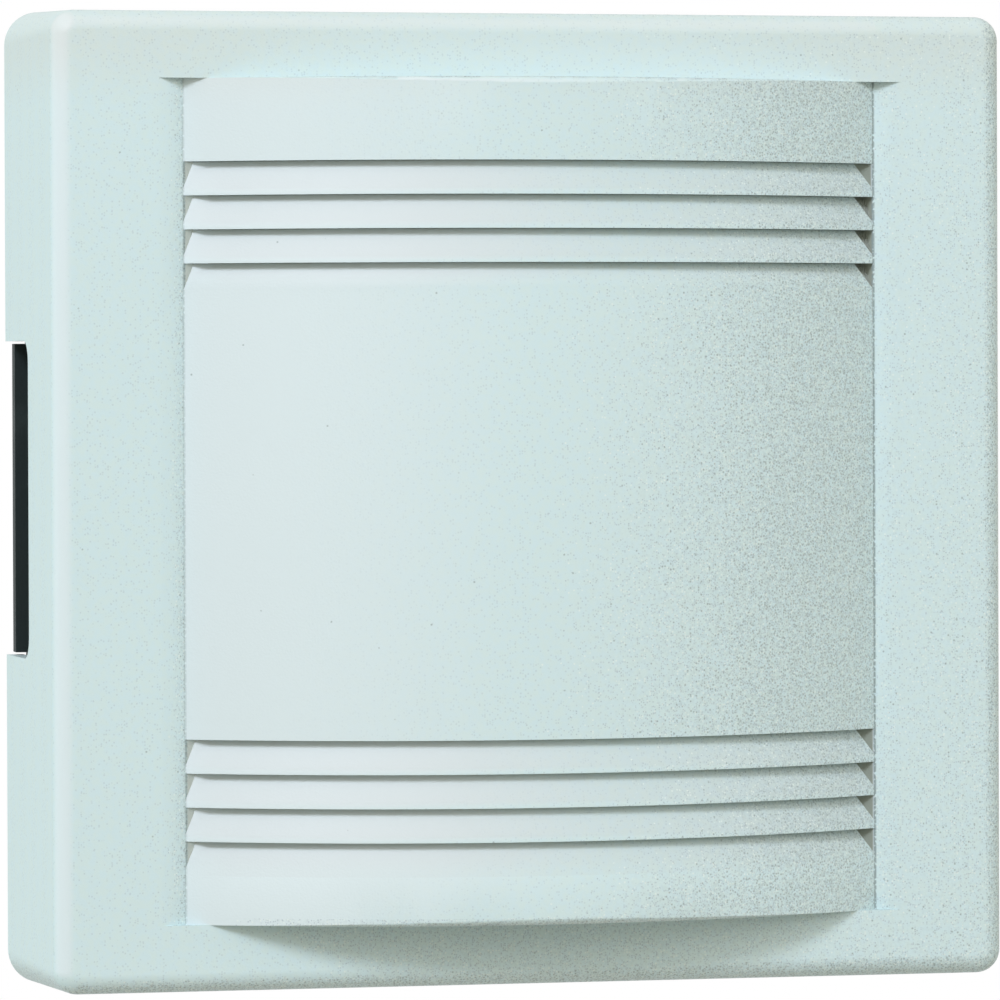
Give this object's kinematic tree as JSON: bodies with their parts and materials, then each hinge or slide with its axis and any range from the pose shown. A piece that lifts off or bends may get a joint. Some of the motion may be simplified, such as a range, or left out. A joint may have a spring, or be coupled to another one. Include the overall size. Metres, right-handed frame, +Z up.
{
  "type": "doorbell chime box",
  "caption": "Square wall chime box: a bowed, louvred pull-off cover over a base with tone bars, a solenoid, a sprung plunger and a terminal block.",
  "frame": {"origin": "centre of the base plate's back face, on the wall", "axes": "+Z up, +X to the right as seen from the room, -Y out of the wall"},
  "size_m": [0.1328, 0.0465, 0.1328],
  "materials": {
    "cover_plastic": "pale mint white, fine spark grain with dark specks",
    "base_plastic": "black, fine grain",
    "tone_steel": "rolled steel, lightly brushed along its length",
    "plated_steel": "bright zinc plated",
    "spring_steel": "drawn wire",
    "rubber": "soft black rubber",
    "bobbin_nylon": "natural nylon",
    "striker_nylon": "natural nylon, smooth",
    "copper_wire": "enamelled copper",
    "coil_tape": "amber polyester tape",
    "terminal_plastic": "ivory moulding",
    "terminal_brass": "plain brass",
    "lead_sleeve": "red insulation"
  },
  "bodies": {
    "base": {"base_plate": "base_plastic", "tone_bar_left": "tone_steel", "tone_bar_right": "tone_steel", "bar_grommets_left": "rubber", "bar_grommets_right": "rubber", "bar_clips": "plated_steel", "coil_bobbin": "bobbin_nylon", "coil_winding": "copper_wire", "coil_wrap": "coil_tape", "solenoid_yoke": "plated_steel", "yoke_keeper": "plated_steel", "yoke_screws": "plated_steel", "return_spring": "spring_steel", "terminal_block": "terminal_plastic", "terminal_clamps": "terminal_brass", "terminal_screws": "plated_steel", "block_screw": "plated_steel", "coil_lead_left": "lead_sleeve", "coil_lead_right": "lead_sleeve"},
    "plunger": {"plunger_core": "tone_steel", "striker_tip_left": "striker_nylon", "striker_tip_right": "striker_nylon", "spring_collar": "base_plastic"},
    "cover": {"front_cover": "cover_plastic"}
  },
  "joints": [
    {"name": "plunger_slide", "type": "slide", "parent": "base", "child": "plunger", "axis": [1, 0, 0], "range_m": [-0.002, 0.008], "stiffness_N_per_m": 60, "deforming": ["return_spring"]},
    {"name": "cover_pull", "type": "slide", "parent": "base", "child": "cover", "axis": [0, -1, 0], "range_m": [0, 0.045]}
  ]
}
